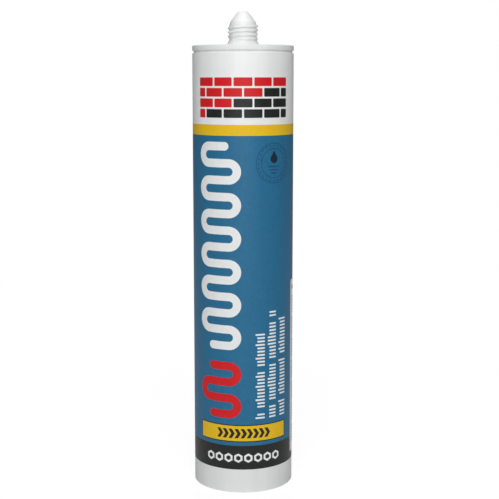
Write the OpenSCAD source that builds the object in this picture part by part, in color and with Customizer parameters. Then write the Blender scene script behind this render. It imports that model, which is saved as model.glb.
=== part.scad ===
// Sealant cartridge, standing on its open rear rim with the closed neck up.
// Origin: centre of the rear rim. +Z runs along the barrel towards the neck.

/* [Barrel] */
// Outer diameter of the barrel and of the collar above the groove
barrel_d = 50; // [44:0.5:60]
// Height from the rear rim to the top face of the shoulder
barrel_h = 220.6; // [150:0.2:300]
// Thickness of the barrel wall
barrel_wall = 1.6; // [1.4:0.1:2.4]
// Rounding of the rear rim's outer edge
rim_round = 0.25; // [0.2:0.05:0.8]

/* [Rear mouth] */
// Height of the wider mouth that guides the piston in
mouth_h = 9; // [4:0.5:14]
// Radial step by which the mouth is wider than the bore
mouth_step = 0.25; // [0.1:0.05:0.5]
// Height of the slope from the mouth to the bore
mouth_slope_h = 2; // [1:0.5:4]

/* [Shoulder] */
// Thickness of the flat shoulder
shoulder_t = 1.8; // [1.4:0.1:3]
// Radius of the fillet inside the shoulder's corner
inner_fillet = 2.5; // [1:0.1:4]
// Rounding of the collar's top edge
collar_round = 0.35; // [0.2:0.05:1]
// Height of the collar band above the groove
collar_h = 2.4; // [1.8:0.1:4]
// Height of the groove's mouth
groove_h = 1.4; // [1.2:0.1:3]
// Height of the groove's flat floor
groove_floor_h = 0.5; // [0.2:0.1:0.8]
// Depth of the groove
groove_depth = 0.8; // [0.4:0.05:1]

/* [Neck] */
// Diameter of the neck at the root of the thread
neck_d = 13.5; // [11:0.1:18]
// Thickness of the neck wall under the thread
neck_wall = 1.7; // [1.2:0.1:2.2]
// Radius of the fillet between the neck and the shoulder
neck_fillet = 3.6; // [1:0.1:4]

/* [Thread] */
// Height of one turn
thread_pitch = 2; // [1.6:0.1:3]
// Number of turns
thread_turns = 3.5; // [2:0.25:5]
// Height of the thread's start above the shoulder
thread_lift = 2.8; // [2:0.1:5]
// Height of the ridge above its root
thread_depth = 0.7; // [0.3:0.05:0.9]
// Width of the ridge where it leaves the neck
thread_root_w = 1.3; // [0.9:0.1:1.5]
// Width of the ridge along its crest
thread_crest_w = 0.35; // [0.2:0.05:0.6]
// Turn of the thread over which each end fades into the neck, in degrees
thread_fade = 30; // [20:5:90]
// Direction in which the thread starts, in degrees from the front
thread_start = -25; // [-180:1:180]

/* [Closed tip] */
// Height of the plain band between the thread's end and the nose
tip_band_h = 1.8; // [1:0.1:4]
// How far the plain band draws in from the neck to the crease where the nose begins
crease_step = 0.6; // [0.1:0.05:1]
// Height of the nose above the crease
nose_h = 4.9; // [4:0.1:10]
// Diameter of the nose's blunt end, before its edge is rounded
nose_end_d = 4.8; // [3:0.1:7]
// Rounding of the nose's blunt end
nose_round = 1.5; // [0.5:0.1:2]
// Thickness of the closed end
tip_wall = 1.2; // [0.8:0.1:2]

/* [Printed colours] */
// Height of the bare foot below the dark band
bare_foot_h = 12; // [6:0.5:20]
// Height of the dark band
dark_band_h = 12.2; // [6:0.2:20]
// Height of the blue field
blue_field_h = 153.4; // [80:0.2:160]
// Height of the yellow stripe
yellow_stripe_h = 5.2; // [2:0.2:8]

/* [Piston] */
// Distance from the rear rim to the piston's rear edge, as filled
piston_recess = 22.6; // [16:0.2:60]
// Height of the piston
piston_h = 16; // [12:0.5:24]
// Thickness of the crown
crown_t = 1.6; // [1.2:0.1:2.5]
// Thickness of the skirt between the wiper lips
skirt_wall = 1.4; // [1:0.1:2]
// Radial gap between the wiper lips and the bore
lip_gap = 0.05; // [0.03:0.01:0.09]
// How far the wiper lips stand out from the skirt
lip_reach = 0.8; // [0.4:0.1:1.2]
// Height of each wiper lip's rubbing face
lip_land_h = 0.8; // [0.4:0.1:1.5]
// Bevel around the crown's front edge
crown_bevel = 1.6; // [0.8:0.1:2.5]
// Number of stiffening ribs under the crown
rib_count = 8; // [4:1:12]
// Thickness of a rib
rib_t = 1.2; // [0.8:0.1:2]
// Depth of the ribs below the crown
rib_depth = 5; // [3:0.5:8]
// Outer diameter of the hub ring that the ribs meet
hub_d = 14; // [10:0.5:20]
// Wall of the hub ring
hub_wall = 1.4; // [1:0.1:2]

/* [Adhesive] */
// Gap left between the adhesive and what holds it
fill_gap = 0.3; // [0.2:0.05:0.5]

/* [Hidden] */

$fn = 96;
// Overshoot that keeps cuts and joins from ending on a face
eps = 0.5;
// Depth to which the thread's foot is sunk into the neck
thread_sink = 0.4;
// Straight steps in one turn of the thread
thread_steps = 30;

barrel_r = barrel_d / 2;
bore_r = barrel_r - barrel_wall;
mouth_r = bore_r + mouth_step;
ceiling_z = barrel_h - shoulder_t;
groove_top = barrel_h - collar_h;

neck_r = neck_d / 2;
neck_bore_r = neck_r - neck_wall;
thread_z = barrel_h + thread_lift;
thread_end_z = thread_z + thread_turns * thread_pitch;
crease_z = thread_end_z + tip_band_h;
crease_r = neck_r - crease_step;
nose_z = crease_z + nose_h;
nose_end_r = nose_end_d / 2;

// Angle of the nose's side from the horizontal, and where its rounding is centred
nose_slope = atan2(nose_h, crease_r - nose_end_r);
nose_arc_x = nose_end_r - nose_round * tan(nose_slope / 2);
nose_arc_z = nose_z - nose_round;

lip_r = bore_r - lip_gap;
skirt_r = lip_r - lip_reach;
cup_r = skirt_r - skirt_wall;
crown_z = piston_recess + piston_h;

// What is left of a square's corner outside the circle that touches its two far sides
module spandrel(r) {
    difference() {
        square(r);
        translate([r, r]) circle(r);
    }
}

// Outside of the barrel, from the rear rim to the flat shoulder
module barrel_outline() {
    difference() {
        square([barrel_r, barrel_h]);
        translate([barrel_r, 0]) mirror([1, 0]) spandrel(rim_round);
        translate([barrel_r, barrel_h]) mirror([1, 0]) mirror([0, 1]) spandrel(collar_round);
        translate([barrel_r, groove_top]) groove_section();
    }
}

// Section of the groove, from its upper edge down
module groove_section() {
    floor_top = (groove_h - groove_floor_h) / 2;
    polygon([
        [eps, eps * floor_top / groove_depth],
        [0, 0],
        [-groove_depth, -floor_top],
        [-groove_depth, -floor_top - groove_floor_h],
        [0, -groove_h],
        [eps, -groove_h - eps * floor_top / groove_depth]
    ]);
}

// Outside of the neck and of the closed nose, without the thread
module neck_outline() {
    translate([neck_r, barrel_h]) spandrel(neck_fillet);
    translate([0, barrel_h - eps]) square([neck_r, thread_end_z - barrel_h + eps]);
    polygon([
        [0, thread_end_z],
        [neck_r, thread_end_z],
        [crease_r, crease_z],
        [nose_arc_x + nose_round * sin(nose_slope), nose_arc_z + nose_round * cos(nose_slope)],
        [nose_arc_x, nose_z],
        [0, nose_z]
    ]);
    intersection() {
        translate([nose_arc_x, nose_arc_z]) circle(nose_round);
        translate([0, crease_z]) square([crease_r, nose_h + eps]);
    }
}

// Barrel bore with its wider rear mouth, up to the underside of the shoulder
module bore_outline() {
    difference() {
        polygon([
            [0, -eps],
            [mouth_r, -eps],
            [mouth_r, mouth_h],
            [bore_r, mouth_h + mouth_slope_h],
            [bore_r, ceiling_z],
            [0, ceiling_z]
        ]);
        translate([bore_r, ceiling_z]) mirror([1, 0]) mirror([0, 1]) spandrel(inner_fillet);
    }
}

// Channel through the neck, closed under the nose, or what fills it with a gap all round
module channel_outline(gap = 0) {
    crease_bore_r = crease_r - neck_wall;
    end_z = nose_z - tip_wall;
    end_r = crease_bore_r - (end_z - crease_z) / tan(nose_slope);
    polygon([
        [0, ceiling_z - eps],
        [neck_bore_r - gap, ceiling_z - eps],
        [neck_bore_r - gap, thread_end_z],
        [crease_bore_r - gap, crease_z],
        [end_r - gap, end_z - gap],
        [0, end_z - gap]
    ]);
}

// Height of the ridge at turn a of the thread, from 0 to 1
function thread_rise(a) = min(1, a / thread_fade, (360 * thread_turns - a) / thread_fade);

// Four corners of the ridge's section at turn a: lower foot, crest, upper foot
function thread_section(a) =
    let (
        crest_r = neck_r - thread_sink / 2 + (thread_depth + thread_sink / 2) * thread_rise(a),
        foot_r = neck_r - thread_sink,
        foot_w = thread_root_w / 2 * (thread_depth + thread_sink) / thread_depth
            - thread_crest_w / 2 * thread_sink / thread_depth,
        z = thread_z + thread_pitch * a / 360,
        turn = thread_start - 90 + a
    )
    [for (p = [
        [foot_r, -foot_w],
        [crest_r, -thread_crest_w / 2],
        [crest_r, thread_crest_w / 2],
        [foot_r, foot_w]
    ]) [p[0] * cos(turn), p[0] * sin(turn), z + p[1]]];

// Ridge of the thread, swept along its helix
module thread() {
    count = ceil(thread_turns * thread_steps);
    corner_count = 4;
    points = [for (i = [0:count]) each thread_section(360 * thread_turns * i / count)];
    sides = [for (i = [0:count - 1], k = [0:corner_count - 1])
        let (a = i * corner_count + k, b = i * corner_count + (k + 1) % corner_count)
        each [[a, b, b + corner_count], [a, b + corner_count, a + corner_count]]];
    start = [for (k = [corner_count - 1:-1:0]) k];
    end = [for (k = [0:corner_count - 1]) count * corner_count + k];
    polyhedron(points, concat(sides, [start, end]));
}

// Section of the moulding's wall, from the rear rim to the closed tip
module wall_section() {
    difference() {
        union() {
            barrel_outline();
            neck_outline();
        }
        bore_outline();
        channel_outline();
    }
}

// The moulding between two heights, in the colour that is printed there
module wall_zone(low, high, tint) {
    color(tint) rotate_extrude() intersection() {
        wall_section();
        translate([0, low]) square([barrel_r + eps, high - low]);
    }
}

// One moulding: barrel, shoulder, threaded neck and the tip that is cut off before use
module cartridge() {
    ground = "whitesmoke";
    band_z = bare_foot_h;
    field_z = band_z + dark_band_h;
    stripe_z = field_z + blue_field_h;
    white_z = stripe_z + yellow_stripe_h;
    wall_zone(0, band_z, ground);
    wall_zone(band_z, field_z, "#252626");
    wall_zone(field_z, stripe_z, "#28688f");
    wall_zone(stripe_z, white_z, "#dfb827");
    wall_zone(white_z, nose_z + eps, ground);
    color(ground) thread();
}

// Section of a wiper lip, from its rear foot up, standing on the skirt
module lip_section() {
    polygon([
        [-skirt_wall / 2, 0],
        [0, 0],
        [lip_reach, lip_reach],
        [lip_reach, lip_reach + lip_land_h],
        [0, 2 * lip_reach + lip_land_h],
        [-skirt_wall / 2, 2 * lip_reach + lip_land_h]
    ]);
}

// Section of the piston's skirt, lips and crown, from its rear edge up
module piston_section() {
    difference() {
        union() {
            square([skirt_r, piston_h - crown_bevel]);
            polygon([
                [0, piston_h - crown_bevel],
                [skirt_r, piston_h - crown_bevel],
                [skirt_r - crown_bevel, piston_h],
                [0, piston_h]
            ]);
            translate([skirt_r, 0]) lip_section();
            translate([skirt_r, piston_h - crown_bevel - 2 * lip_reach - lip_land_h]) lip_section();
        }
        square([cup_r, piston_h - crown_t]);
    }
}

// Hub ring and ribs that stiffen the crown from behind
module crown_ribs() {
    translate([0, 0, piston_h - crown_t - rib_depth]) {
        difference() {
            cylinder(h = rib_depth + crown_t / 2, d = hub_d);
            translate([0, 0, -eps]) cylinder(h = rib_depth + eps, r = hub_d / 2 - hub_wall);
        }
        for (i = [0:rib_count - 1]) rotate(i * 360 / rib_count)
            translate([hub_d / 2 - hub_wall / 2, -rib_t / 2, 0])
                cube([cup_r + skirt_wall / 2 - hub_d / 2 + hub_wall / 2, rib_t, rib_depth + crown_t / 2]);
    }
}

// Follower that a gun's rod pushes up the bore
module piston() {
    color("gainsboro") translate([0, 0, piston_recess]) {
        rotate_extrude() piston_section();
        crown_ribs();
    }
}

// Charge of adhesive between the piston's crown and the closed tip
module adhesive() {
    top_z = ceiling_z - fill_gap;
    fillet_r = inner_fillet - fill_gap;
    color("tan") rotate_extrude() {
        difference() {
            translate([0, crown_z + fill_gap]) square([bore_r - fill_gap, top_z - crown_z - fill_gap]);
            translate([bore_r - fill_gap, top_z]) mirror([1, 0]) mirror([0, 1]) spandrel(fillet_r);
        }
        channel_outline(fill_gap);
    }
}

cartridge();
piston();
adhesive();
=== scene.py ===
"""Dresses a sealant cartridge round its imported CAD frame: the moulded barrel with its closed, threaded
neck, the inks on it, the follower in its bore and the adhesive between them.

Lengths in the classes are in millimetres. Flat artwork is drawn as it would lie unrolled: `u` is the
arc length from the front of the barrel towards +X, and `z` the height above the rear rim.
"""

import logging
import math
from collections.abc import Callable
from dataclasses import dataclass, field
from enum import Enum

import bmesh
import bpy
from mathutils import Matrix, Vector


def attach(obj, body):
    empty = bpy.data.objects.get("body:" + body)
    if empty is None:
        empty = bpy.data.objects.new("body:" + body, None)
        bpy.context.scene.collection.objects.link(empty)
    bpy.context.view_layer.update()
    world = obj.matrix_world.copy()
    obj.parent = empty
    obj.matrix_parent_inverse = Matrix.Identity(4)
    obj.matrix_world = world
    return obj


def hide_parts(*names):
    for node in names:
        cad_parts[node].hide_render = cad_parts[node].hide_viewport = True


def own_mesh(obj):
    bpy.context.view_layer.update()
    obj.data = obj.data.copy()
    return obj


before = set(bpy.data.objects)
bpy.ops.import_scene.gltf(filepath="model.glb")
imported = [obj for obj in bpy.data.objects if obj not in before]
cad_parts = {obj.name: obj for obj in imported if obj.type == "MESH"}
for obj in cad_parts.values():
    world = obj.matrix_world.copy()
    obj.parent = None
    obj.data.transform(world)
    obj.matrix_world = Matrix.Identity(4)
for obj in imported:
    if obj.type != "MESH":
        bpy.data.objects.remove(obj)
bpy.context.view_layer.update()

MM = 0.001
# Flat faces in one turn of everything round, so that inks and plastic have their edges in one place
FACETS = 192
# Points closer than this are one point
WELD = 0.0005
# Thickness of one ink film. A real one is a tenth of it, which would be lost in the render's precision
FILM = 0.03
# Creases sharper than this stay sharp
CREASE_DEG = 35.0

log = logging.getLogger("cartridge")


class Body(Enum):
    """The CAD bodies that a piece can ride on."""

    CARTRIDGE = "cartridge"
    PISTON = "piston"


class Slot(Enum):
    """The record's material slots."""

    SHELL = "shell"
    FOLLOWER = "follower"
    PASTE = "paste"


class Pick(Enum):
    """What is being selected in edit mode."""

    POINTS = "VERT"
    EDGES = "EDGE"
    FACES = "FACE"


# Modelling


def start_piece(name: str) -> bpy.types.Object:
    """Adds an empty mesh, alone selected, and opens it in edit mode.

    Args:
        name: The piece's name.

    Returns:
        The new object.
    """
    for other in bpy.context.selected_objects:
        other.select_set(False)
    bpy.ops.object.add(type="MESH", location=(0, 0, 0))
    piece = bpy.context.object
    piece.name = piece.data.name = name
    bpy.ops.object.mode_set(mode="EDIT")
    bpy.ops.mesh.select_mode(type=Pick.POINTS.value)
    return piece


def pick(piece: bpy.types.Object, what: Pick, test: Callable[[Vector, Vector], bool]) -> int:
    """Selects the points or faces that pass a test, and nothing else.

    Args:
        piece: The object that is in edit mode.
        what: Which kind of element is selected.
        test: Given an element's middle in millimetres and its normal, says whether it is selected.

    Returns:
        How many were selected.
    """
    bpy.ops.mesh.select_mode(type=what.value)
    bpy.ops.mesh.select_all(action="DESELECT")
    work = bmesh.from_edit_mesh(piece.data)
    found = 0
    if what is Pick.POINTS:
        for point in work.verts:
            if test(point.co / MM, point.normal):
                point.select_set(True)
                found += 1
    else:
        work.normal_update()
        for face in work.faces:
            if test(face.calc_center_median() / MM, face.normal):
                face.select_set(True)
                found += 1
    work.select_flush_mode()
    bmesh.update_edit_mesh(piece.data)
    return found


def close_piece(recalculate: bool = True) -> None:
    """Welds doubled points, turns the faces outwards and leaves edit mode.

    Args:
        recalculate: Whether the faces are turned outwards, which a closed shape needs.
    """
    bpy.ops.mesh.select_mode(type=Pick.POINTS.value)
    bpy.ops.mesh.select_all(action="SELECT")
    bpy.ops.mesh.remove_doubles(threshold=WELD * MM)
    if recalculate:
        bpy.ops.mesh.normals_make_consistent(inside=False)
    bpy.ops.object.mode_set(mode="OBJECT")


def only(piece: bpy.types.Object) -> None:
    """Makes a piece the only selected and the active one."""
    for other in bpy.context.selected_objects:
        other.select_set(False)
    piece.select_set(True)
    bpy.context.view_layer.objects.active = piece


def smooth(piece: bpy.types.Object, crease_deg: float = CREASE_DEG) -> None:
    """Shades a piece smooth except across its creases."""
    only(piece)
    bpy.ops.object.shade_smooth_by_angle(angle=math.radians(crease_deg))


def join(keep: bpy.types.Object, *others: bpy.types.Object) -> bpy.types.Object:
    """Joins other meshes into one piece, which keeps its name."""
    only(keep)
    for other in others:
        other.select_set(True)
    bpy.ops.object.join()
    return keep


def unite(keep: bpy.types.Object, other: bpy.types.Object) -> None:
    """Fuses another solid into a piece and removes it.

    Args:
        keep: The piece that stays.
        other: The solid that is fused in.
    """
    only(keep)
    fuse = keep.modifiers.new("fuse", "BOOLEAN")
    fuse.operation = "UNION"
    fuse.solver = "EXACT"
    fuse.object = other
    bpy.ops.object.modifier_apply(modifier=fuse.name)
    bpy.data.objects.remove(other)


@dataclass(frozen=True)
class Corner:
    """One corner of a turned section, with the radius that rounds it off."""

    r: float
    z: float
    rounding: float = 0.0
    steps: int = 4


def draw_section(piece: bpy.types.Object, corners: list[Corner]) -> None:
    """Draws a section as a line in the XZ plane, point after point, and rounds its corners.

    Args:
        piece: The object that is in edit mode.
        corners: The section's corners in order.
    """
    first = corners[0]
    bpy.ops.mesh.primitive_plane_add(size=MM, location=(first.r * MM, 0, first.z * MM))
    bpy.ops.mesh.merge(type="CENTER")
    for start, end in zip(corners, corners[1:]):
        step = ((end.r - start.r) * MM, 0, (end.z - start.z) * MM)
        bpy.ops.mesh.extrude_region_move(TRANSFORM_OT_translate={"value": step})
    for before, corner, after in zip(corners, corners[1:], corners[2:]):
        if not corner.rounding:
            continue
        arriving = Vector((corner.r - before.r, corner.z - before.z))
        leaving = Vector((after.r - corner.r, after.z - corner.z))
        reach = corner.rounding * math.tan(arriving.angle(leaving) / 2)
        place = Vector((corner.r, 0, corner.z))
        pick(piece, Pick.POINTS, lambda co, _, place=place: (co - place).length < 10 * WELD)
        bpy.ops.mesh.bevel(offset=reach * MM, segments=corner.steps, affect="VERTICES")


def turn_section(piece: bpy.types.Object, facets: int = FACETS) -> None:
    """Spins all that is drawn once round the Z axis."""
    bpy.ops.mesh.select_mode(type=Pick.POINTS.value)
    bpy.ops.mesh.select_all(action="SELECT")
    bpy.ops.mesh.spin(steps=facets, angle=math.tau, center=(0, 0, 0), axis=(0, 0, 1))
    close_piece()


# Finishes


def linear(code: str) -> tuple[float, float, float, float]:
    """Turns an sRGB hex value into the linear colour that a shader takes."""
    parts = [int(code.lstrip("#")[i : i + 2], 16) / 255 for i in (0, 2, 4)]
    return (*(p / 12.92 if p <= 0.04045 else ((p + 0.055) / 1.055) ** 2.4 for p in parts), 1.0)


def add_node(
    tree: bpy.types.NodeTree,
    kind: str,
    inputs: dict[str | int, object] | None = None,
    **settings: object,
) -> bpy.types.Node:
    """Adds one node with its settings and links.

    Args:
        tree: The node tree that the node goes into.
        kind: The node's type name, without its ShaderNode prefix.
        inputs: A value, or the output socket that is linked, for each input by name or place.
        **settings: The node's own properties.

    Returns:
        The new node.
    """
    node = tree.nodes.new("ShaderNode" + kind)
    for name, value in settings.items():
        setattr(node, name, value)
    for key, value in (inputs or {}).items():
        if isinstance(value, bpy.types.NodeSocket):
            tree.links.new(value, node.inputs[key])
        else:
            node.inputs[key].default_value = value
    return node


def blank_material(name: str) -> tuple[bpy.types.Material, bpy.types.NodeTree]:
    """Makes a material with an empty node tree.

    Args:
        name: The material's name.

    Returns:
        The material and its tree.
    """
    material = bpy.data.materials.new(name)
    material.use_nodes = True
    material.node_tree.nodes.clear()
    return material, material.node_tree


@dataclass(frozen=True)
class MouldedPolythene:
    """High-density polyethylene, injection moulded: waxy, with a broad soft gloss, the faint long
    flow marks of a filled barrel and a fine spark-eroded grain."""

    name: str = "hdpe_injection_moulded"
    colour: str = "#EFF0F0"
    shade: str = "#E8EAEA"
    roughness: float = 0.48
    roughness_swing: float = 0.05
    ior: float = 1.54
    translucence: float = 0.08
    # The thin, empty tip above the crease lets more light through its wall, and its colour is painted
    # whiter than the rest: painted light on the tip
    tip_painted_light: str = "#FBFCFC"
    tip_translucence: float = 0.5
    tip_from: float = 231.9
    tip_to: float = 232.7
    # Distance between flow marks round the barrel
    flow_mark: float = 5.0
    # The real grain is near 0.05 mm. It is drawn at 0.6 mm to show at all at this distance
    grain: float = 0.6
    grain_height: float = 0.012

    def material(self) -> bpy.types.Material:
        """Builds the material."""
        material, tree = blank_material(self.name)
        place = add_node(tree, "TexCoord").outputs["Object"]
        stretched = add_node(tree, "Mapping", {"Vector": place, "Scale": (1.0, 1.0, 0.06)}).outputs[0]
        flow = add_node(
            tree,
            "TexNoise",
            {"Vector": stretched, "Scale": 1 / (self.flow_mark * MM), "Detail": 3.0, "Roughness": 0.55},
        ).outputs["Fac"]
        cloud = add_node(
            tree, "TexNoise", {"Vector": place, "Scale": 1 / (18 * MM), "Detail": 2.0}
        ).outputs["Fac"]
        mixed = add_node(tree, "Math", {0: flow, 1: cloud}, operation="ADD").outputs[0]
        share = add_node(
            tree, "MapRange", {"Value": mixed, "From Min": 0.7, "From Max": 1.3}
        ).outputs[0]
        colour = add_node(
            tree,
            "Mix",
            {"Factor": share, 6: linear(self.colour), 7: linear(self.shade)},
            data_type="RGBA",
        ).outputs[2]
        height = add_node(tree, "SeparateXYZ", {0: place}).outputs["Z"]
        tip = add_node(
            tree,
            "MapRange",
            {"Value": height, "From Min": self.tip_from * MM, "From Max": self.tip_to * MM},
        ).outputs[0]
        # Painted light: the tip above the crease is mixed towards a whiter colour
        colour = add_node(
            tree, "Mix", {"Factor": tip, 6: colour, 7: linear(self.tip_painted_light)}, data_type="RGBA"
        ).outputs[2]
        inward = add_node(
            tree,
            "MapRange",
            {"Value": tip, "To Min": self.translucence, "To Max": self.tip_translucence},
        ).outputs[0]
        gloss = add_node(
            tree,
            "MapRange",
            {
                "Value": cloud,
                "From Min": 0.3,
                "From Max": 0.7,
                "To Min": self.roughness - self.roughness_swing,
                "To Max": self.roughness + self.roughness_swing,
            },
        ).outputs[0]
        grain = add_node(
            tree, "TexNoise", {"Vector": place, "Scale": 1 / (self.grain * MM), "Detail": 2.0}
        ).outputs["Fac"]
        relief = add_node(
            tree, "Math", {0: flow, 1: 4.0, 2: grain}, operation="MULTIPLY_ADD"
        ).outputs[0]
        bump = add_node(
            tree,
            "Bump",
            {"Height": relief, "Strength": 0.35, "Distance": self.grain_height * MM},
        ).outputs[0]
        skin = add_node(
            tree,
            "BsdfPrincipled",
            {
                "Base Color": colour,
                "Roughness": gloss,
                "IOR": self.ior,
                "Normal": bump,
                "Subsurface Weight": inward,
                "Subsurface Radius": (1.0, 1.0, 1.0),
                "Subsurface Scale": 1.2 * MM,
            },
        )
        add_node(tree, "OutputMaterial", {"Surface": skin.outputs[0]})
        return material


@dataclass(frozen=True)
class OffsetInk:
    """Ultraviolet-cured ink, dry offset printed on the round barrel: an even, slightly glossy film
    with a faint mottle where it took unevenly and the tiny ripple of a rolled-on coat."""

    name: str
    colour: str
    mottle: str
    roughness: float = 0.45
    ior: float = 1.43
    # Size of the patches where the film lies thicker or thinner
    patch: float = 2.2
    # The roller's ripple is near 0.1 mm. It is drawn at 0.5 mm to show at all at this distance
    ripple: float = 0.5
    ripple_height: float = 0.006

    def material(self) -> bpy.types.Material:
        """Builds the material."""
        material, tree = blank_material(self.name)
        place = add_node(tree, "TexCoord").outputs["Object"]
        patches = add_node(
            tree,
            "TexNoise",
            {"Vector": place, "Scale": 1 / (self.patch * MM), "Detail": 4.0, "Roughness": 0.6},
        ).outputs["Fac"]
        share = add_node(
            tree, "MapRange", {"Value": patches, "From Min": 0.35, "From Max": 0.68}
        ).outputs[0]
        colour = add_node(
            tree,
            "Mix",
            {"Factor": share, 6: linear(self.colour), 7: linear(self.mottle)},
            data_type="RGBA",
        ).outputs[2]
        gloss = add_node(
            tree,
            "MapRange",
            {
                "Value": patches,
                "From Min": 0.3,
                "From Max": 0.7,
                "To Min": self.roughness - 0.04,
                "To Max": self.roughness + 0.06,
            },
        ).outputs[0]
        ripple = add_node(
            tree, "TexNoise", {"Vector": place, "Scale": 1 / (self.ripple * MM), "Detail": 1.0}
        ).outputs["Fac"]
        bump = add_node(
            tree,
            "Bump",
            {"Height": ripple, "Strength": 0.3, "Distance": self.ripple_height * MM},
        ).outputs[0]
        film = add_node(
            tree,
            "BsdfPrincipled",
            {"Base Color": colour, "Roughness": gloss, "IOR": self.ior, "Normal": bump},
        )
        add_node(tree, "OutputMaterial", {"Surface": film.outputs[0]})
        return material


@dataclass(frozen=True)
class FollowerPolythene:
    """Low-density polyethylene, injection moulded and unpigmented: milky, slightly see-through and
    duller than the barrel, with drag lines along its lips."""

    name: str = "ldpe_injection_moulded"
    colour: str = "#E4E6E2"
    deep: str = "#D3D7D3"
    roughness: float = 0.48
    ior: float = 1.51
    # Distance between the drag lines on the lips
    drag_line: float = 0.9

    def material(self) -> bpy.types.Material:
        """Builds the material."""
        material, tree = blank_material(self.name)
        place = add_node(tree, "TexCoord").outputs["Object"]
        cloud = add_node(
            tree, "TexNoise", {"Vector": place, "Scale": 1 / (6 * MM), "Detail": 3.0}
        ).outputs["Fac"]
        colour = add_node(
            tree,
            "Mix",
            {"Factor": cloud, 6: linear(self.colour), 7: linear(self.deep)},
            data_type="RGBA",
        ).outputs[2]
        along = add_node(tree, "Mapping", {"Vector": place, "Scale": (1.0, 1.0, 0.03)}).outputs[0]
        lines = add_node(
            tree, "TexNoise", {"Vector": along, "Scale": 1 / (self.drag_line * MM), "Detail": 2.0}
        ).outputs["Fac"]
        bump = add_node(
            tree, "Bump", {"Height": lines, "Strength": 0.4, "Distance": 0.03 * MM}
        ).outputs[0]
        skin = add_node(
            tree,
            "BsdfPrincipled",
            {
                "Base Color": colour,
                "Roughness": self.roughness,
                "IOR": self.ior,
                "Normal": bump,
                "Subsurface Weight": 0.25,
                "Subsurface Radius": (1.0, 1.0, 0.9),
                "Subsurface Scale": 1.5 * MM,
            },
        )
        add_node(tree, "OutputMaterial", {"Surface": skin.outputs[0]})
        return material


@dataclass(frozen=True)
class AdhesivePaste:
    """Uncured polyurethane paste, filled by machine: creamy tan, wet and smooth, with folds where
    the nozzle laid it down and a few grains of filler."""

    name: str = "polyurethane_paste"
    colour: str = "#CDB892"
    shade: str = "#B99F76"
    roughness: float = 0.3
    ior: float = 1.48
    # Width of one fold
    fold: float = 7.0

    def material(self) -> bpy.types.Material:
        """Builds the material."""
        material, tree = blank_material(self.name)
        place = add_node(tree, "TexCoord").outputs["Object"]
        folds = add_node(
            tree,
            "TexNoise",
            {"Vector": place, "Scale": 1 / (self.fold * MM), "Detail": 2.0, "Distortion": 1.5},
        ).outputs["Fac"]
        specks = add_node(
            tree, "TexNoise", {"Vector": place, "Scale": 1 / (0.8 * MM), "Detail": 1.0}
        ).outputs["Fac"]
        colour = add_node(
            tree,
            "Mix",
            {"Factor": folds, 6: linear(self.colour), 7: linear(self.shade)},
            data_type="RGBA",
        ).outputs[2]
        height = add_node(
            tree, "Math", {0: specks, 1: 0.15, 2: folds}, operation="MULTIPLY_ADD"
        ).outputs[0]
        bump = add_node(
            tree, "Bump", {"Height": height, "Strength": 0.5, "Distance": 0.6 * MM}
        ).outputs[0]
        body = add_node(
            tree,
            "BsdfPrincipled",
            {"Base Color": colour, "Roughness": self.roughness, "IOR": self.ior, "Normal": bump},
        )
        add_node(tree, "OutputMaterial", {"Surface": body.outputs[0]})
        return material


# The moulding


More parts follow.
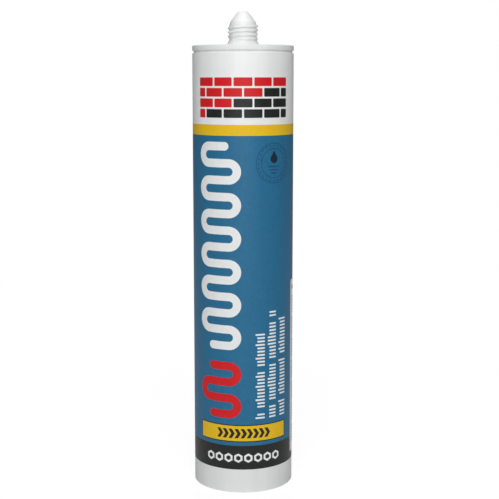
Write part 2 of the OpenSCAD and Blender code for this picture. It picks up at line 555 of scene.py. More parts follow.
@dataclass
class Moulding:
    """Barrel, shoulder, threaded neck and closed tip, moulded in one shot."""

    finish: MouldedPolythene = field(default_factory=MouldedPolythene)
    radius: float = 25.0
    height: float = 220.6
    bore: float = 23.4
    rim_round: float = 0.25
    mouth: float = 23.65
    mouth_h: float = 9.0
    mouth_slope: float = 2.0
    shoulder_t: float = 1.8
    inner_fillet: float = 2.5
    collar_round: float = 0.35
    groove_top: float = 218.2
    groove_h: float = 1.4
    groove_floor: float = 0.5
    groove_depth: float = 0.8
    neck: float = 6.75
    neck_bore: float = 5.05
    neck_fillet: float = 3.6
    thread_start: float = 223.4
    thread_pitch: float = 2.0
    thread_turns: float = 3.5
    thread_depth: float = 0.7
    thread_root: float = 1.3
    thread_sink: float = 0.45
    thread_fade_deg: float = 30.0
    thread_from_deg: float = -25.0
    thread_steps: int = 60
    thread_corners: int = 16
    crease_z: float = 232.2
    crease: float = 6.15
    nose_z: float = 237.1
    nose_end: float = 2.4
    nose_round: float = 1.5
    tip_wall: float = 1.2

    @property
    def thread_end(self) -> float:
        """Height at which the thread ends."""
        return self.thread_start + self.thread_pitch * self.thread_turns

    def section(self) -> list[Corner]:
        """Gives the wall's section, from the tip down the outside and up the inside."""
        ceiling = self.height - self.shoulder_t
        chamfer = (self.groove_h - self.groove_floor) / 2
        nose_slope = (self.crease - self.nose_end) / (self.nose_z - self.crease_z)
        crease_bore = self.crease - (self.neck - self.neck_bore)
        inner_end_z = self.nose_z - self.tip_wall
        inner_end = crease_bore - (inner_end_z - self.crease_z) * nose_slope
        groove_floor = self.radius - self.groove_depth
        groove_low = self.groove_top - self.groove_h
        neck_rings = [
            Corner(self.neck, self.thread_end - i * 0.9)
            for i in range(1, int((self.thread_end - self.height - self.neck_fillet) / 0.9) + 1)
        ]
        return [
            Corner(0, self.nose_z),
            Corner(self.nose_end, self.nose_z, self.nose_round, 10),
            Corner(self.crease, self.crease_z, 0.25, 4),
            Corner(self.neck, self.thread_end, 0.5, 3),
            *neck_rings,
            Corner(self.neck, self.height, self.neck_fillet, 10),
            Corner(self.radius, self.height, self.collar_round, 6),
            Corner(self.radius, self.groove_top, 0.15, 3),
            Corner(groove_floor, self.groove_top - chamfer, 0.2, 3),
            Corner(groove_floor, self.groove_top - chamfer - self.groove_floor, 0.2, 3),
            Corner(self.radius, groove_low, 0.15, 3),
            Corner(self.radius, 0, self.rim_round, 5),
            Corner(self.mouth, 0, 0.25, 3),
            Corner(self.mouth, self.mouth_h, 1.0, 3),
            Corner(self.bore, self.mouth_h + self.mouth_slope, 1.0, 3),
            Corner(self.bore, ceiling, self.inner_fillet, 8),
            Corner(self.neck_bore, ceiling, 0.5, 4),
            Corner(self.neck_bore, self.thread_end),
            Corner(crease_bore, self.crease_z),
            Corner(inner_end, inner_end_z, 0.6, 3),
            Corner(0, inner_end_z),
        ]

    def ridge(self) -> bpy.types.Object:
        """Sweeps the rounded thread ridge along its helix and fades its two ends into the neck.

        Returns:
            The closed ridge.
        """
        piece = start_piece("thread_ridge")
        depth = self.thread_depth + self.thread_sink
        share = math.sqrt(1 - (self.thread_sink / depth) ** 2)
        turn = math.radians(self.thread_from_deg - 90)
        middle = self.neck - self.thread_sink
        spot = (middle * MM, 0, self.thread_start * MM)
        bpy.ops.mesh.primitive_circle_add(
            vertices=self.thread_corners, radius=MM, location=spot, rotation=(math.pi / 2, 0, 0)
        )
        bpy.ops.transform.resize(
            value=(depth, 1, self.thread_root / 2 / share), center_override=spot
        )
        bpy.ops.object.mode_set(mode="OBJECT")
        sweep = piece.modifiers.new("sweep", "SCREW")
        sweep.angle = math.tau * self.thread_turns
        sweep.screw_offset = self.thread_pitch * self.thread_turns * MM
        sweep.steps = sweep.render_steps = round(self.thread_turns * self.thread_steps)
        sweep.use_merge_vertices = False
        bpy.ops.object.modifier_apply(modifier=sweep.name)
        rings = round(self.thread_turns * self.thread_steps)
        corners = self.thread_corners
        for index, point in enumerate(piece.data.vertices):
            ring = index // corners
            angle = math.tau * self.thread_turns * ring / rings
            degrees = math.degrees(angle)
            rise = min(1.0, degrees / self.thread_fade_deg)
            rise = min(rise, (360 * self.thread_turns - degrees) / self.thread_fade_deg)
            rise = 0.25 + 0.75 * math.sin(rise * math.pi / 2)
            centre = Vector((
                middle * MM * math.cos(angle),
                middle * MM * math.sin(angle),
                (self.thread_start + self.thread_pitch * degrees / 360) * MM,
            ))
            point.co = centre + (point.co - centre) * rise
        bpy.ops.object.mode_set(mode="EDIT")
        bpy.ops.mesh.select_mode(type=Pick.EDGES.value)
        bpy.ops.mesh.select_all(action="DESELECT")
        bpy.ops.mesh.select_non_manifold()
        bpy.ops.mesh.edge_face_add()
        bpy.ops.mesh.select_all(action="SELECT")
        bpy.ops.transform.rotate(
            value=-turn, orient_axis="Z", center_override=(0, 0, 0)
        )
        close_piece()
        return piece

    def build(self) -> bpy.types.Object:
        """Turns the wall, fuses the thread to its neck and dresses it.

        Returns:
            The finished piece.
        """
        piece = start_piece("moulded_barrel")
        draw_section(piece, self.section())
        turn_section(piece)
        unite(piece, self.ridge())
        smooth(piece)
        piece.data.materials.clear()
        piece.data.materials.append(self.finish.material())
        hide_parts("cartridge")
        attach(piece, Body.CARTRIDGE.value)
        return piece


# Printing


@dataclass
class InkPass:
    """One colour, printed on the barrel in one pass. Its shapes are drawn flat, and then sliced,
    thickened to a film and wrapped on."""

    name: str
    finish: OffsetInk
    radius: float = 25.0
    bands: list[tuple[float, float]] = field(default_factory=list)
    draw: list[Callable[["InkPass"], None]] = field(default_factory=list)
    piece: bpy.types.Object | None = None

    def sheet(
        self, u: float, z: float, width: float, height: float, rounding: float = 0.0, layer: int = 0
    ) -> None:
        """Adds one rectangle, its corners rounded.

        Args:
            u: Arc length of its middle.
            z: Height of its middle.
            width: Its size round the barrel.
            height: Its size along the barrel.
            rounding: Radius of its corners.
            layer: How many films lie under it.
        """
        spot = (u * MM, -layer * FILM * MM, z * MM)
        bpy.ops.mesh.primitive_plane_add(size=MM, location=spot, rotation=(math.pi / 2, 0, 0))
        bpy.ops.transform.resize(value=(width, 1, height), center_override=spot)
        if rounding:
            reach = min(rounding, width / 2.02, height / 2.02)
            steps = 3 if reach < 1 else 8
            bpy.ops.mesh.bevel(offset=reach * MM, segments=steps, affect="VERTICES")

    def outline(
        self, u: float, z: float, width: float, height: float, line: float, layer: int = 0
    ) -> None:
        """Adds a thin rectangular frame round a rectangle of the given size."""
        self.sheet(u, z + height / 2 + line / 2, width + 2 * line, line, 0, layer)
        self.sheet(u, z - height / 2 - line / 2, width + 2 * line, line, 0, layer)
        self.sheet(u - width / 2 - line / 2, z, line, height, 0, layer)
        self.sheet(u + width / 2 + line / 2, z, line, height, 0, layer)

    def polygon(
        self, u: float, z: float, radius: float, sides: int, line: float, layer: int = 0
    ) -> None:
        """Adds a ring with the given number of sides, or a full disc if its line has no width.

        Args:
            u: Arc length of its middle.
            z: Height of its middle.
            radius: Distance of its corners from its middle.
            sides: Number of its sides.
            line: Width of its line.
            layer: How many films lie under it.
        """
        spot = (u * MM, -layer * FILM * MM, z * MM)
        bpy.ops.mesh.primitive_circle_add(
            vertices=sides,
            radius=radius * MM,
            fill_type="NOTHING" if line else "NGON",
            location=spot,
            rotation=(math.pi / 2, 0, 0),
        )
        if line:
            inner = 1 - line / (radius * math.cos(math.pi / sides))
            bpy.ops.mesh.extrude_region_move(TRANSFORM_OT_translate={"value": (0, 0, 0)})
            bpy.ops.transform.resize(value=(inner, 1, inner), center_override=spot)

    def chevron(
        self, u: float, z: float, height: float, stroke: float, lean: float, layer: int = 0
    ) -> None:
        """Adds one arrowhead stroke that points along +u."""
        low, half = (u * MM, -layer * FILM * MM, (z - height / 2) * MM), height / 2 * MM
        bpy.ops.mesh.primitive_plane_add(size=MM, location=low, rotation=(math.pi / 2, 0, 0))
        bpy.ops.transform.resize(value=(stroke, 1, 0), center_override=low)
        bpy.ops.mesh.remove_doubles(threshold=WELD * MM)
        bpy.ops.mesh.extrude_region_move(TRANSFORM_OT_translate={"value": (lean * MM, 0, half)})
        bpy.ops.mesh.extrude_region_move(TRANSFORM_OT_translate={"value": (-lean * MM, 0, half)})

    def bead(
        self, u: float, z: float, run: float, pitch: float, turns: int, stroke: float, layer: int = 0
    ) -> None:
        """Adds one line that runs to and fro up the barrel, as a bead of adhesive is laid.

        Args:
            u: Arc length of the middle of its straight runs.
            z: Height of its first run's middle.
            run: Length of a straight run.
            pitch: Distance between two runs.
            turns: Number of turns.
            stroke: Width of the line.
            layer: How many films lie under it.
        """
        y = -layer * FILM * MM
        spot = (u * MM, y, z * MM)
        bpy.ops.mesh.primitive_plane_add(size=MM, location=spot, rotation=(math.pi / 2, 0, 0))
        bpy.ops.transform.resize(value=(run, 1, stroke), center_override=spot)
        self._round_end(u - run / 2, z, stroke)
        side = 1
        self._pick_end(u + run / 2, z, stroke)
        for turn in range(turns):
            centre = ((u + side * run / 2) * MM, y, (z + pitch * (turn + 0.5)) * MM)
            bpy.ops.mesh.spin(steps=16, angle=math.pi, center=centre, axis=(0, side, 0))
            bpy.ops.mesh.extrude_region_move(
                TRANSFORM_OT_translate={"value": (-side * run * MM, 0, 0)}
            )
            side = -side
        self._round_end(u + side * run / 2, z + pitch * turns, stroke)

    def _pick_end(self, u: float, z: float, stroke: float) -> None:
        """Selects the upright edge at one end of a stroke."""
        pick(
            self.piece,
            Pick.POINTS,
            lambda co, _: abs(co.x - u) < 0.01 and abs(co.z - z) < stroke / 2 + 0.01,
        )

    def _round_end(self, u: float, z: float, stroke: float) -> None:
        """Rounds one end of a stroke off to a half circle."""
        self._pick_end(u, z, stroke)
        bpy.ops.mesh.bevel(offset=stroke / 2.02 * MM, segments=8, affect="VERTICES")

    def wrap(self) -> None:
        """Slices the flat shapes at the barrel's facets, thickens them and bends them round it."""
        bpy.ops.mesh.select_mode(type=Pick.POINTS.value)
        bpy.ops.mesh.select_all(action="SELECT")
        bpy.ops.mesh.remove_doubles(threshold=WELD * MM)
        widths = [v.co.x for v in bmesh.from_edit_mesh(self.piece.data).verts]
        slice_w = math.tau * self.radius / FACETS * MM
        for index in range(math.ceil(min(widths) / slice_w), math.floor(max(widths) / slice_w) + 1):
            bpy.ops.mesh.select_all(action="SELECT")
            bpy.ops.mesh.bisect(plane_co=(index * slice_w, 0, 0), plane_no=(1, 0, 0))
        if pick(self.piece, Pick.FACES, lambda _, normal: normal.y > 0):
            bpy.ops.mesh.flip_normals()
        close_piece(recalculate=False)
        only(self.piece)
        film = self.piece.modifiers.new("film", "SOLIDIFY")
        film.thickness = FILM * MM
        film.offset = 1
        bpy.ops.object.modifier_apply(modifier=film.name)
        widths = [v.co.x for v in self.piece.data.vertices]
        bend = self.piece.modifiers.new("wrap", "SIMPLE_DEFORM")
        bend.deform_method = "BEND"
        bend.deform_axis = "Z"
        bend.angle = (max(widths) - min(widths)) / (self.radius * MM)
        bpy.ops.object.modifier_apply(modifier=bend.name)
        bpy.ops.transform.translate(value=(0, -self.radius * MM, 0))
        bpy.ops.object.transform_apply(location=True, rotation=False, scale=False)

    def band(self, low: float, high: float) -> bpy.types.Object:
        """Turns a film that covers the barrel all round between two heights."""
        ring = start_piece(self.name + "_band")
        inner, outer = self.radius, self.radius + FILM
        loop = [(inner, low), (outer, low), (outer, high), (inner, high), (inner, low)]
        draw_section(ring, [Corner(r, z) for r, z in loop])
        turn_section(ring)
        return ring

    def build(self) -> bpy.types.Object:
        """Prints the pass.

        Returns:
            The finished piece.
        """
        self.piece = start_piece(self.name)
        if self.draw:
            for shape in self.draw:
                shape(self)
            self.wrap()
        else:
            bpy.ops.object.mode_set(mode="OBJECT")
        rings = [self.band(low, high) for low, high in self.bands]
        if rings:
            join(self.piece, *rings)
        smooth(self.piece)
        self.piece.data.materials.clear()
        self.piece.data.materials.append(self.finish.material())
        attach(self.piece, Body.CARTRIDGE.value)
        return self.piece


@dataclass
class Artwork:
    """The barrel's print: fields of colour, and plain shapes where a maker would put words."""

    foot: float = 12.0
    dark_top: float = 24.2
    blue_top: float = 177.6
    stripe_top: float = 182.8

    # Bricks in a running bond, in the white ground
    wall_low: float = 186.1
    wall_half: float = 24.4
    course: float = 4.1
    joint: float = 0.9
    bricks: int = 5
    # How many whole bricks of each course, from the top down, are red
    red_bricks: tuple[float, ...] = (5.0, 3.5, 2.0, 0.5)

    # The laid bead
    bead_u: float = -12.5
    bead_width: float = 23.1
    stroke: float = 4.1
    bead_pitch: float = 8.14
    bead_white: tuple[float, int] = (74.9, 12)
    bead_red: tuple[float, int] = (40.3, 3)

    # Three upright rows of tick marks
    rows: tuple[tuple[float, float, float], ...] = (
        (9.0, 37.8, 81.5),
        (15.5, 37.8, 92.2),
        (22.2, 37.8, 89.2),
    )
    tick_w: float = 4.0
    tick_h: float = 0.85
    tick_pitch: float = 1.7

    # Round seal
    seal_u: float = 16.0
    seal_z: float = 164.3
    seal_r: float = 9.8
    drop_r: float = 2.1
    # How far the drop's points within each angle of its top are lifted, one lift on the other
    drop_lifts: tuple[tuple[float, float], ...] = ((35.0, 0.42), (20.0, 0.58), (5.0, 0.8))

    # Box with arrowheads
    box_z: float = 30.55
    box_w: float = 47.4
    box_h: float = 7.8

    # White panel round the back
    panel_u: tuple[float, float] = (31.1, 109.0)
    panel_z: tuple[float, float] = (15.6, 105.0)

    def brick_row(self, ink: InkPass, red: bool) -> None:
        """Lays the bricks of one colour."""
        pitch = (2 * self.wall_half + self.joint) / self.bricks
        for course, red_count in enumerate(self.red_bricks):
            z = self.wall_low + (len(self.red_bricks) - 1 - course) * (self.course + self.joint)
            z += self.course / 2
            shift = 0.5 if course % 2 else 0.0
            edges = [-self.wall_half + pitch * (k - shift) for k in range(self.bricks + 2)]
            split = -self.wall_half + pitch * red_count
            for left in edges:
                low = max(left, -self.wall_half)
                high = min(left + pitch - self.joint, self.wall_half)
                if high - low < 1 or (low + high < 2 * split) != red:
                    continue
                self.corner_brick(ink, low, high, z)

    def corner_brick(self, ink: InkPass, low: float, high: float, z: float) -> None:
        """Lays one brick between two arc lengths."""
        ink.sheet((low + high) / 2, z, high - low, self.course, 0.45)

    def beads(self, ink: InkPass, start: tuple[float, int]) -> None:
        """Lays one bead."""
        bend = (self.bead_pitch + self.stroke) / 2
        run = self.bead_width - 2 * bend
        ink.bead(self.bead_u, start[0], run, self.bead_pitch, start[1], self.stroke, layer=1)

    def ticks(self, ink: InkPass) -> None:
        """Sets the upright rows of tick marks, in groups of uneven length."""
        for row, (u, low, high) in enumerate(self.rows):
            z, index = low + self.tick_h / 2, 0
            while z < high - self.tick_h / 2:
                place = (index * (row + 2) + row * 3) % 11
                if place == 4:
                    z += self.tick_pitch * 1.4
                long = place in (0, 5, 8)
                width = self.tick_w + (0.9 if long else 0.0)
                ink.sheet(u - (0.45 if long else 0.0), z, width, self.tick_h, 0.3, layer=1)
                z += self.tick_pitch
                index += 1

    def seal(self, ink: InkPass) -> None:
        """Draws the seal: two rings, marks between them and three short bars under the drop."""
        u, z, r = self.seal_u, self.seal_z, self.seal_r
        ink.polygon(u, z, r, 64, 0.35, layer=1)
        ink.polygon(u, z, r * 0.74, 56, 0.35, layer=1)
        for k in range(24):
            a = math.tau * k / 24
            ink.polygon(u + 0.87 * r * math.sin(a), z + 0.87 * r * math.cos(a), 0.42, 8, 0, layer=1)
        for k, width in enumerate((7.0, 5.6, 3.4)):
            ink.sheet(u, z - 1.6 - 1.6 * k, width, 0.6, 0.3, layer=1)

    def drop(self, ink: InkPass) -> None:
        """Draws the drop in the middle of the seal: a disc whose top is drawn up to a point."""
        u, z, r = self.seal_u, self.seal_z + 2.1, self.drop_r
        ink.polygon(u, z, r, 24, 0, layer=2)
        for half_angle, lift in self.drop_lifts:
            reach = r * math.sin(math.radians(half_angle))
            pick(
                ink.piece,
                Pick.POINTS,
                lambda co, _, reach=reach: abs(co.x - u) < reach and co.z > z,
            )
            bpy.ops.transform.translate(value=(0, 0, lift * MM))

    def box(self, ink: InkPass) -> None:
        """Fills the box above the dark band."""
        ink.sheet(0, self.box_z, self.box_w, self.box_h, 0, layer=1)

    def box_marks(self, ink: InkPass) -> None:
        """Draws the box's thin outline and the arrowheads in it."""
        ink.outline(0, self.box_z, self.box_w, self.box_h, 0.5, layer=1)
        for k in range(9):
            ink.chevron(-12.65 + k * 3.04, self.box_z, 4.8, 1.75, 1.45, layer=2)

    def nuts(self, ink: InkPass) -> None:
        """Sets a row of six-sided rings in the dark band."""
        for k in range(8):
            ink.polygon((k - 3.5) * 5.0, 17.9, 2.4, 6, 1.0, layer=1)

    def panel(self, ink: InkPass) -> None:
        """Fills the panel round the back."""
        (left, right), (low, high) = self.panel_u, self.panel_z
        ink.sheet((left + right) / 2, (low + high) / 2, right - left, high - low, 1.0, layer=1)

    def columns(self) -> list[tuple[float, float]]:
        """Gives the left and right edge of each column of the back panel."""
        left, right = self.panel_u
        width = (right - left - 5 * 2.2) / 4
        return [(left + 2.2 + k * (width + 2.2), left + 2.2 + k * (width + 2.2) + width) for k in range(4)]

    def small_rows(self, ink: InkPass) -> None:
        """Fills the back panel's columns with blocks of thin lines, the last of each one short."""
        low, high = self.panel_z
        for column, (left, right) in enumerate(self.columns()):
            for row in range(int((high - low - 10) / 1.6)):
                place = (row + 3 * column) % (7 + column % 2 * 2)
                if place == 0:
                    continue
                share = 1.0 - 0.025 * ((row * row + 3 * column) % 5)
                if (row + 1 + 3 * column) % (7 + column % 2 * 2) == 0:
                    share = 0.3 + 0.13 * ((row + column) % 4)
                width = (right - left) * share
                z = high - 7.4 - row * 1.6
                ink.sheet(left + width / 2, z, width, 0.62, 0.3, layer=2)

    def headings(self, ink: InkPass) -> None:
        """Sets a heavier bar over each of the back panel's columns."""
        for left, right in self.columns():
            width = (right - left) * 0.62
            ink.sheet(left + width / 2, self.panel_z[1] - 4.2, width, 1.9, 0.4, layer=2)

    def passes(self) -> list[InkPass]:
        """Gives the ink passes in printing order."""
        blue = OffsetInk("blue_offset_ink", "#16678F", "#1B6D96", ior=1.5)
        black = OffsetInk("black_offset_ink", "#171818", "#1D1E1E", roughness=0.38, ior=1.5)
        yellow = OffsetInk("yellow_offset_ink", "#E8BC0E", "#EBC116")
        red = OffsetInk("red_offset_ink", "#D20F17", "#D6151C")
        white = OffsetInk("white_offset_ink", "#EFF1F1", "#EAEDED", roughness=0.38)
        navy = OffsetInk("navy_offset_ink", "#174A70", "#1B5078")
        dark = OffsetInk("dark_blue_offset_ink", "#0A2235", "#0E283C")
        grey = OffsetInk("grey_offset_ink", "#8D8F92", "#96989A", roughness=0.4)
        return [
            InkPass("print_blue", blue, bands=[(self.dark_top, self.blue_top)]),
            InkPass(
                "print_black",
                black,
                bands=[(self.foot, self.dark_top)],
                draw=[lambda ink: self.brick_row(ink, red=False), self.box_marks],
            ),
            InkPass(
                "print_yellow", yellow, bands=[(self.blue_top, self.stripe_top)], draw=[self.box]
            ),
            InkPass(
                "print_red",
                red,
                draw=[
                    lambda ink: self.brick_row(ink, red=True),
                    lambda ink: self.beads(ink, self.bead_red),
                    self.headings,
                ],
            ),
            InkPass(
                "print_white",
                white,
                draw=[
                    lambda ink: self.beads(ink, self.bead_white),
                    self.ticks,
                    self.nuts,
                    self.panel,
                ],
            ),
            InkPass("print_navy", navy, draw=[self.seal]),
            InkPass("print_dark_blue", dark, draw=[self.drop]),
            InkPass("print_grey", grey, draw=[self.small_rows]),
        ]


# Inside the barrel


@dataclass
class Charge:
    """The adhesive: a column in the bore, and what fills the neck."""

    finish: AdhesivePaste = field(default_factory=AdhesivePaste)
    bottom: float = 38.9
    top: float = 218.5
    radius: float = 23.1
    top_round: float = 2.2
    neck: float = 4.75
    neck_top: float = 230.4
    crease: float = 4.15
    crease_z: float = 232.2
    end: float = 1.32
    end_z: float = 235.6
    # Height of the layer that is left when the follower is fully up
    left_over: float = 1.1

    def column(self) -> bpy.types.Object:
        """Turns the column in the bore."""
        piece = start_piece("adhesive_column")
        draw_section(
            piece,
            [
                Corner(0, self.bottom),
                Corner(self.radius, self.bottom, 1.2, 5),
                Corner(self.radius, self.top, self.top_round, 6),
                Corner(0, self.top),
            ],
        )
        turn_section(piece)
        smooth(piece)
        piece.data.materials.append(self.finish.material())
        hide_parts("adhesive")
        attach(piece, Body.CARTRIDGE.value)
        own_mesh(piece)
        return piece

    def neck_plug(self, material: bpy.types.Material) -> bpy.types.Object:
        """Turns the adhesive that fills the neck up to its closed end."""
        piece = start_piece("adhesive_in_neck")
        draw_section(
            piece,
            [
                Corner(0, self.top),
                Corner(self.neck, self.top),
                Corner(self.neck, self.neck_top),
                Corner(self.crease, self.crease_z),
                Corner(self.end, self.end_z, 0.5, 3),
                Corner(0, self.end_z),
            ],
        )
        turn_section(piece, 64)
        smooth(piece)
        piece.data.materials.append(material)
        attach(piece, Body.CARTRIDGE.value)
        return piece

    def build(self) -> list[bpy.types.Object]:
        """Builds both pieces."""
        column = self.column()
        return [column, self.neck_plug(column.data.materials[0])]


@dataclass
class Follower:
    """The piston that a gun's rod pushes: a ribbed crown in a skirt with two wiper lips."""

    finish: FollowerPolythene = field(default_factory=FollowerPolythene)
    rear: float = 22.6
    height: float = 16.0
    crown_t: float = 1.6
    crown_bevel: float = 1.6
    lip: float = 23.35
    lip_land: float = 0.8
    skirt: float = 22.55
    cup: float = 21.15
    hub: float = 7.0
    hub_bore: float = 5.6
    ribs: int = 8
    rib_t: float = 1.2
    rib_depth: float = 5.0
    edge: float = 0.25

    @property
    def under_crown(self) -> float:
        """Height of the crown's underside."""
        return self.rear + self.height - self.crown_t

    def body(self) -> bpy.types.Object:
        """Turns the crown and the skirt with its two lips."""
        reach, top = self.lip - self.skirt, self.rear + self.height
        front = top - self.crown_bevel - reach
        rear = self.rear + reach + self.lip_land
        piece = start_piece("moulded_follower")
        draw_section(
            piece,
            [
                Corner(0, top),
                Corner(self.skirt - self.crown_bevel, top, 0.4),
                Corner(self.lip, front, 0.15, 3),
                Corner(self.lip, front - self.lip_land, 0.15, 3),
                Corner(self.skirt, front - self.lip_land - reach, 0.3, 3),
                Corner(self.skirt, rear + reach, 0.3, 3),
                Corner(self.lip, rear, 0.15, 3),
                Corner(self.lip, rear - self.lip_land, 0.15, 3),
                Corner(self.skirt, self.rear, 0.15, 3),
                Corner(self.cup, self.rear, self.edge),
                Corner(self.cup, self.under_crown, 0.8, 5),
                Corner(0, self.under_crown),
            ],
        )
        turn_section(piece)
        return piece

    def hub_ring(self) -> bpy.types.Object:
        """Turns the ring that the ribs meet."""
        low, high = self.under_crown - self.rib_depth, self.under_crown + self.crown_t / 2
        piece = start_piece("follower_hub")
        draw_section(
            piece,
            [
                Corner(self.hub_bore, high),
                Corner(self.hub_bore, low, self.edge),
                Corner(self.hub, low, self.edge),
                Corner(self.hub, high),
                Corner(self.hub_bore, high),
            ],
        )
        turn_section(piece, 96)
        return piece

    def spokes(self) -> bpy.types.Object:
        """Adds the ribs, their edges rounded off."""
        start, end = (self.hub + self.hub_bore) / 2, (self.cup + self.skirt) / 2
        deep = self.rib_depth + self.crown_t / 2
        spot = ((start + end) / 2 * MM, 0, (self.under_crown + self.crown_t / 2 - deep / 2) * MM)
        piece = start_piece("follower_ribs")
        for index in range(self.ribs):
            bpy.ops.mesh.primitive_cube_add(size=MM, location=spot)
            bpy.ops.transform.resize(value=(end - start, self.rib_t, deep), center_override=spot)
            bpy.ops.mesh.bevel(offset=self.edge * MM, segments=3, affect="EDGES")
            turn = math.tau * index / self.ribs
            bpy.ops.transform.rotate(value=turn, orient_axis="Z", center_override=(0, 0, 0))
        close_piece()
        return piece

    def build(self) -> bpy.types.Object:
        """Fuses body, hub and ribs, and dresses them.

        Returns:
            The finished piece.
        """
        piece = self.body()
        unite(piece, self.hub_ring())
        unite(piece, self.spokes())
        smooth(piece)
        piece.data.materials.clear()
        piece.data.materials.append(self.finish.material())
        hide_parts("piston")
        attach(piece, Body.PISTON.value)
        return piece


# The studio


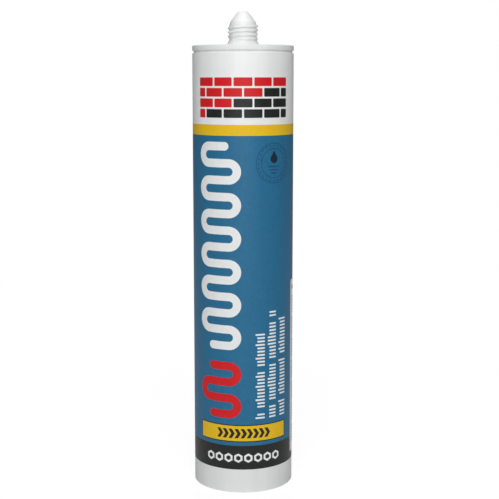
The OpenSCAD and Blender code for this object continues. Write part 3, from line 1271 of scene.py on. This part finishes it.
@dataclass
class Studio:
    """Pale floor, soft front light, a weak fill from behind, and the camera. Sizes are in metres."""

    camera_at: tuple[float, float, float] = (0.0, -0.5665, 0.2047)
    pitch_deg: float = 8.59
    yaw_deg: float = -0.325
    lens: float = 81.71
    surround: float = 0.15
    # Gloss sees a darker room than the even light suggests, as it does between two softboxes
    surround_gloss: float = 0.12
    key_at: tuple[float, float, float] = (0.0, -1.8, 1.15)
    key_size: tuple[float, float] = (1.58, 1.44)
    key_strength: float = 3.36
    top_at: tuple[float, float, float] = (0.0, -0.3, 1.25)
    top_size: tuple[float, float] = (0.9, 0.8)
    top_strength: float = 1.2
    fill_at: tuple[float, float, float] = (0.0, 1.3, 0.7)
    fill_size: tuple[float, float] = (0.3, 1.2)
    fill_strength: float = 6.5
    # The lamps face the barrel's middle
    aim: tuple[float, float, float] = (0.0, 0.0, 0.12)
    under_at: tuple[float, float, float] = (0.0, 0.0, -0.6)
    under_size: tuple[float, float] = (1.2, 1.2)
    under_strength: float = 1.4
    floor_radius: float = 5.0
    # The floor is open under the mouth, so that a lamp below lights the bore
    floor_hole: float = 0.0249
    floor_grey: str = "#CECECE"
    # What the camera sees of that grey: just enough for a faint shadow on white
    floor_seen: str = "#7B7B7B"
    floor_glow: float = 0.85
    # Distance from the object at which the floor begins to turn plain white, and is so
    white_from: float = 0.2
    white_at: float = 0.6

    def light(
        self,
        name: str,
        at: tuple[float, float, float],
        size: tuple[float, float],
        radiance: float,
    ) -> bpy.types.Object:
        """Adds one softbox that faces the object.

        Args:
            name: The lamp's name.
            at: Its middle.
            size: Its width and height.
            radiance: How bright its face is, where 1 is white.

        Returns:
            The lamp.
        """
        direction = Vector(self.aim) - Vector(at)
        bpy.ops.object.light_add(
            type="AREA", location=at, rotation=direction.to_track_quat("-Z", "Y").to_euler()
        )
        lamp = bpy.context.object
        lamp.name = name
        lamp.data.shape = "RECTANGLE"
        lamp.data.size, lamp.data.size_y = size
        # A lamp's face shines with power / (4 x area) watts per square metre and steradian
        lamp.data.energy = radiance * size[0] * size[1] * 4
        lamp.visible_camera = False
        return lamp

    def world(self) -> None:
        """Lights the surroundings evenly and shows the camera a white background."""
        world = bpy.data.worlds.new("studio")
        bpy.context.scene.world = world
        world.use_nodes = True
        tree = world.node_tree
        tree.nodes.clear()
        path = add_node(tree, "LightPath")
        seen = add_node(
            tree,
            "Math",
            {0: path.outputs["Is Camera Ray"], 1: path.outputs["Is Transmission Ray"]},
            operation="MAXIMUM",
        ).outputs[0]
        dim = add_node(
            tree,
            "MapRange",
            {
                "Value": path.outputs["Is Glossy Ray"],
                "To Min": self.surround,
                "To Max": self.surround_gloss,
            },
        ).outputs[0]
        level = add_node(tree, "MapRange", {"Value": seen, "To Min": dim, "To Max": 1.0}).outputs[0]
        white = add_node(tree, "Background", {"Color": (1, 1, 1, 1), "Strength": level})
        add_node(tree, "OutputWorld", {"Surface": white.outputs[0]})

    def floor(self) -> None:
        """Lays a pale floor that the camera sees as white, with the object's shadow on it. From
        below the camera looks through it, at the open end that stands on it."""
        for other in bpy.context.selected_objects:
            other.select_set(False)
        spot = (0, 0, -0.0001)
        bpy.ops.mesh.primitive_circle_add(vertices=96, radius=self.floor_hole, location=spot)
        plane = bpy.context.object
        plane.name = "studio_floor"
        wider = self.floor_radius / self.floor_hole
        bpy.ops.object.mode_set(mode="EDIT")
        bpy.ops.mesh.extrude_region_move(TRANSFORM_OT_translate={"value": (0, 0, 0)})
        bpy.ops.transform.resize(value=(wider, wider, 1), center_override=spot)
        if pick(plane, Pick.FACES, lambda _, normal: normal.z < 0):
            bpy.ops.mesh.flip_normals()
        bpy.ops.object.mode_set(mode="OBJECT")
        material, tree = blank_material("matt_studio_floor")
        seen = add_node(tree, "LightPath").outputs["Is Camera Ray"]
        behind = add_node(tree, "NewGeometry").outputs["Backfacing"]
        grey = add_node(
            tree,
            "Mix",
            {"Factor": seen, 6: linear(self.floor_grey), 7: linear(self.floor_seen)},
            data_type="RGBA",
        ).outputs[2]
        matt = add_node(tree, "BsdfDiffuse", {"Color": grey}).outputs[0]
        lift = add_node(tree, "Math", {0: seen, 1: self.floor_glow}, operation="MULTIPLY").outputs[0]
        glow = add_node(tree, "Emission", {"Color": (1, 1, 1, 1), "Strength": lift}).outputs[0]
        near = add_node(tree, "AddShader", {0: matt, 1: glow}).outputs[0]
        place = add_node(tree, "TexCoord").outputs["Object"]
        away = add_node(tree, "VectorMath", {0: place}, operation="LENGTH").outputs["Value"]
        share = add_node(
            tree,
            "MapRange",
            {"Value": away, "From Min": self.white_from, "From Max": self.white_at},
            interpolation_type="SMOOTHSTEP",
        ).outputs[0]
        far = add_node(tree, "Math", {0: seen, 1: share}, operation="MULTIPLY").outputs[0]
        white = add_node(tree, "Emission", {"Color": (1, 1, 1, 1), "Strength": 1.0}).outputs[0]
        top = add_node(tree, "MixShader", {0: far, 1: near, 2: white}).outputs[0]
        clear = add_node(tree, "BsdfTransparent").outputs[0]
        through = add_node(tree, "Math", {0: seen, 1: behind}, operation="MULTIPLY").outputs[0]
        pane = add_node(tree, "MixShader", {0: through, 1: top, 2: clear}).outputs[0]
        add_node(tree, "OutputMaterial", {"Surface": pane})
        plane.data.materials.append(material)

    def camera(self) -> None:
        """Sets the camera at the photograph's angle."""
        bpy.ops.object.camera_add(
            location=self.camera_at,
            rotation=(math.radians(90 - self.pitch_deg), 0, math.radians(self.yaw_deg)),
        )
        camera = bpy.context.object
        camera.data.sensor_width = 36.0
        camera.data.lens = self.lens
        camera.data.clip_start = 0.01
        bpy.context.scene.camera = camera

    def build(self) -> None:
        """Sets the studio up."""
        bpy.context.scene.view_settings.view_transform = "Standard"
        self.world()
        self.floor()
        self.light("front_softbox", self.key_at, self.key_size, self.key_strength)
        self.light("top_softbox", self.top_at, self.top_size, self.top_strength)
        fill = self.light("rear_fill", self.fill_at, self.fill_size, self.fill_strength)
        fill.visible_glossy = False
        self.light("under_softbox", self.under_at, self.under_size, self.under_strength)
        self.camera()


def main() -> None:
    """Builds the cartridge's pieces in order, and the studio round them."""
    logging.basicConfig(level=logging.INFO, format="%(name)s: %(message)s")
    pieces = [Moulding().build()]
    pieces += [ink.build() for ink in Artwork().passes()]
    pieces += Charge().build()
    pieces.append(Follower().build())
    for piece in pieces:
        log.info("%s: %d faces", piece.name, len(piece.data.polygons))
    Studio().build()


if __name__ == "__main__":
    main()
